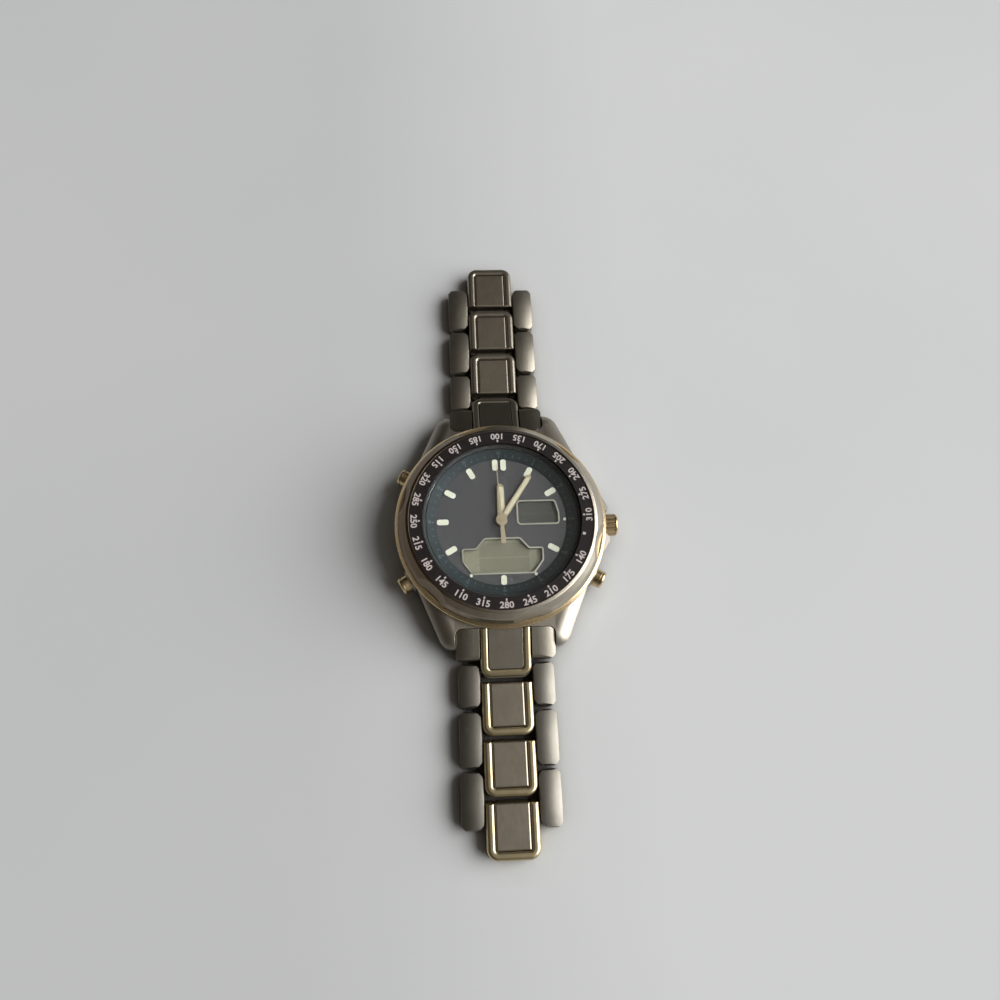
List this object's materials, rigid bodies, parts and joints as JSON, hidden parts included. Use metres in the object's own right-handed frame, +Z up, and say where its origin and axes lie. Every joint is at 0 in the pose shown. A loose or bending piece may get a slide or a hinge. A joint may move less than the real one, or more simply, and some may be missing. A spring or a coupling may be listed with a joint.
{
  "type": "wristwatch",
  "caption": "Analogue and digital wristwatch in titanium and gold, with a rotating scalloped bezel, side pushers and an open bracelet of rimmed centre links.",
  "frame": {"origin": "centre of the case back, on the surface that the watch lies on", "axes": "+Z up through the dial, +Y towards 12 o'clock along the bracelet, +X towards the crown at 3 o'clock"},
  "size_m": [0.0428, 0.1178, 0.0109],
  "materials": {
    "titanium": "satin",
    "polished_titanium": "polished",
    "gold_plate": "polished",
    "bronze_plate": "polished",
    "pin_steel": "satin",
    "gasket_rubber": "matte",
    "crystal_glass": "polished",
    "flange_blue": "satin",
    "dial_grey": "satin",
    "lcd_panel": "matte",
    "lume": "matte",
    "ring_black": "gloss",
    "plate_brass": "satin",
    "holder_plastic": "matte",
    "board_green": "matte",
    "battery_steel": "satin",
    "motor_copper": "satin"
  },
  "bodies": {
    "case": {"case_middle": "titanium", "case_back": "titanium", "case_back_gasket": "gasket_rubber", "crystal": "crystal_glass", "crystal_gasket": "gasket_rubber", "flange_ring": "flange_blue", "dial": "dial_grey", "upper_lcd": "lcd_panel", "lower_lcd": "lcd_panel", "window_frames": "gold_plate", "hour_markers": "lume", "main_plate": "plate_brass", "movement_holder": "holder_plastic", "circuit_board": "board_green", "battery": "battery_steel", "battery_strap": "plate_brass", "step_motors": "motor_copper", "crown_tube": "pin_steel", "pusher_tubes": "pin_steel", "spring_bars": "pin_steel", "upper_end_link": "titanium", "upper_end_rim": "bronze_plate", "lower_end_link": "titanium", "lower_end_rim": "gold_plate"},
    "bezel": {"bezel_hood": "polished_titanium", "bezel_base_ring": "gold_plate", "bezel_printed_ring": "ring_black"},
    "hour_hand_body": {"hour_hand": "gold_plate"},
    "minute_hand_body": {"minute_hand": "gold_plate"},
    "second_hand_body": {"second_hand": "gold_plate"},
    "stem_slider": {"setting_lever": "pin_steel"},
    "crown_body": {"crown": "gold_plate", "stem": "pin_steel"},
    "pusher_4_body": {"pusher_4": "gold_plate"},
    "pusher_8_body": {"pusher_8": "gold_plate"},
    "pusher_10_body": {"pusher_10": "gold_plate"},
    "upper_outer_1": {"upper_outer_links_1": "titanium", "upper_link_pins_1": "pin_steel"},
    "upper_centre_1": {"upper_centre_link_1": "titanium", "upper_link_rim_1": "bronze_plate"},
    "upper_outer_2": {"upper_outer_links_2": "titanium", "upper_link_pins_2": "pin_steel"},
    "upper_centre_2": {"upper_centre_link_2": "titanium", "upper_link_rim_2": "bronze_plate"},
    "upper_outer_3": {"upper_outer_links_3": "titanium", "upper_link_pins_3": "pin_steel"},
    "upper_centre_3": {"upper_centre_link_3": "titanium", "upper_link_rim_3": "bronze_plate"},
    "lower_outer_1": {"lower_outer_links_1": "titanium", "lower_link_pins_1": "pin_steel"},
    "lower_centre_1": {"lower_centre_link_1": "titanium", "lower_link_rim_1": "gold_plate"},
    "lower_outer_2": {"lower_outer_links_2": "titanium", "lower_link_pins_2": "pin_steel"},
    "lower_centre_2": {"lower_centre_link_2": "titanium", "lower_link_rim_2": "gold_plate"},
    "lower_outer_3": {"lower_outer_links_3": "titanium", "lower_link_pins_3": "pin_steel"},
    "lower_centre_3": {"lower_centre_link_3": "titanium", "lower_link_rim_3": "gold_plate"}
  },
  "joints": [
    {"name": "bezel_turn", "type": "hinge", "parent": "case", "child": "bezel", "pos_m": [0, 0, 0.009], "axis": [0, 0, 1], "continuous": true},
    {"name": "minute_hand_turn", "type": "hinge", "parent": "case", "child": "minute_hand_body", "pos_m": [0, 0, 0.009], "axis": [0, 0, -1], "continuous": true},
    {"name": "hour_hand_turn", "type": "hinge", "parent": "case", "child": "hour_hand_body", "pos_m": [0, 0, 0.009], "axis": [0, 0, -1], "continuous": true},
    {"name": "second_hand_turn", "type": "hinge", "parent": "case", "child": "second_hand_body", "pos_m": [0, 0, 0.009], "axis": [0, 0, -1], "continuous": true},
    {"name": "crown_pull", "type": "slide", "parent": "case", "child": "stem_slider", "axis": [1, 0, 0], "range_m": [0, 0.0012]},
    {"name": "crown_turn", "type": "hinge", "parent": "stem_slider", "child": "crown_body", "pos_m": [0.0215, 0, 0.0039], "axis": [1, 0, 0], "continuous": true},
    {"name": "pusher_4_press", "type": "slide", "parent": "case", "child": "pusher_4_body", "axis": [-0.866, 0.5, 0], "range_m": [0, 0.0008], "stiffness_N_per_m": 1000, "springref_m": -0.0005},
    {"name": "pusher_8_press", "type": "slide", "parent": "case", "child": "pusher_8_body", "axis": [0.866, 0.5, 0], "range_m": [0, 0.0008], "stiffness_N_per_m": 1000, "springref_m": -0.0005},
    {"name": "pusher_10_press", "type": "slide", "parent": "case", "child": "pusher_10_body", "axis": [0.866, -0.5, 0], "range_m": [0, 0.0008], "stiffness_N_per_m": 1000, "springref_m": -0.0005},
    {"name": "upper_pin_1", "type": "hinge", "parent": "case", "child": "upper_outer_1", "pos_m": [0, 0.02675, 0.00165], "axis": [-1, 0, 0], "range_deg": [-10, 30]},
    {"name": "upper_pin_2", "type": "hinge", "parent": "upper_outer_1", "child": "upper_centre_1", "pos_m": [0, 0.03127, 0.00165], "axis": [-1, 0, 0], "range_deg": [-10, 30]},
    {"name": "upper_pin_3", "type": "hinge", "parent": "upper_centre_1", "child": "upper_outer_2", "pos_m": [0, 0.03622, 0.00165], "axis": [-1, 0, 0], "range_deg": [-10, 30]},
    {"name": "upper_pin_4", "type": "hinge", "parent": "upper_outer_2", "child": "upper_centre_2", "pos_m": [0, 0.04152, 0.00165], "axis": [-1, 0, 0], "range_deg": [-10, 30]},
    {"name": "upper_pin_5", "type": "hinge", "parent": "upper_centre_2", "child": "upper_outer_3", "pos_m": [0, 0.04647, 0.00165], "axis": [-1, 0, 0], "range_deg": [-10, 30]},
    {"name": "upper_pin_6", "type": "hinge", "parent": "upper_outer_3", "child": "upper_centre_3", "pos_m": [0, 0.05177, 0.00165], "axis": [-1, 0, 0], "range_deg": [-10, 30]},
    {"name": "lower_pin_1", "type": "hinge", "parent": "case", "child": "lower_outer_1", "pos_m": [0, -0.02675, 0.00165], "axis": [1, 0, 0], "range_deg": [-10, 30]},
    {"name": "lower_pin_2", "type": "hinge", "parent": "lower_outer_1", "child": "lower_centre_1", "pos_m": [0, -0.03127, 0.00165], "axis": [1, 0, 0], "range_deg": [-10, 30]},
    {"name": "lower_pin_3", "type": "hinge", "parent": "lower_centre_1", "child": "lower_outer_2", "pos_m": [0, -0.03622, 0.00165], "axis": [1, 0, 0], "range_deg": [-10, 30]},
    {"name": "lower_pin_4", "type": "hinge", "parent": "lower_outer_2", "child": "lower_centre_2", "pos_m": [0, -0.04152, 0.00165], "axis": [1, 0, 0], "range_deg": [-10, 30]},
    {"name": "lower_pin_5", "type": "hinge", "parent": "lower_centre_2", "child": "lower_outer_3", "pos_m": [0, -0.04647, 0.00165], "axis": [1, 0, 0], "range_deg": [-10, 30]},
    {"name": "lower_pin_6", "type": "hinge", "parent": "lower_outer_3", "child": "lower_centre_3", "pos_m": [0, -0.05177, 0.00165], "axis": [1, 0, 0], "range_deg": [-10, 30]}
  ],
  "couplings": [
    {"joint": "hour_hand_turn", "follows": "minute_hand_turn", "ratio": 0.083333}
  ]
}
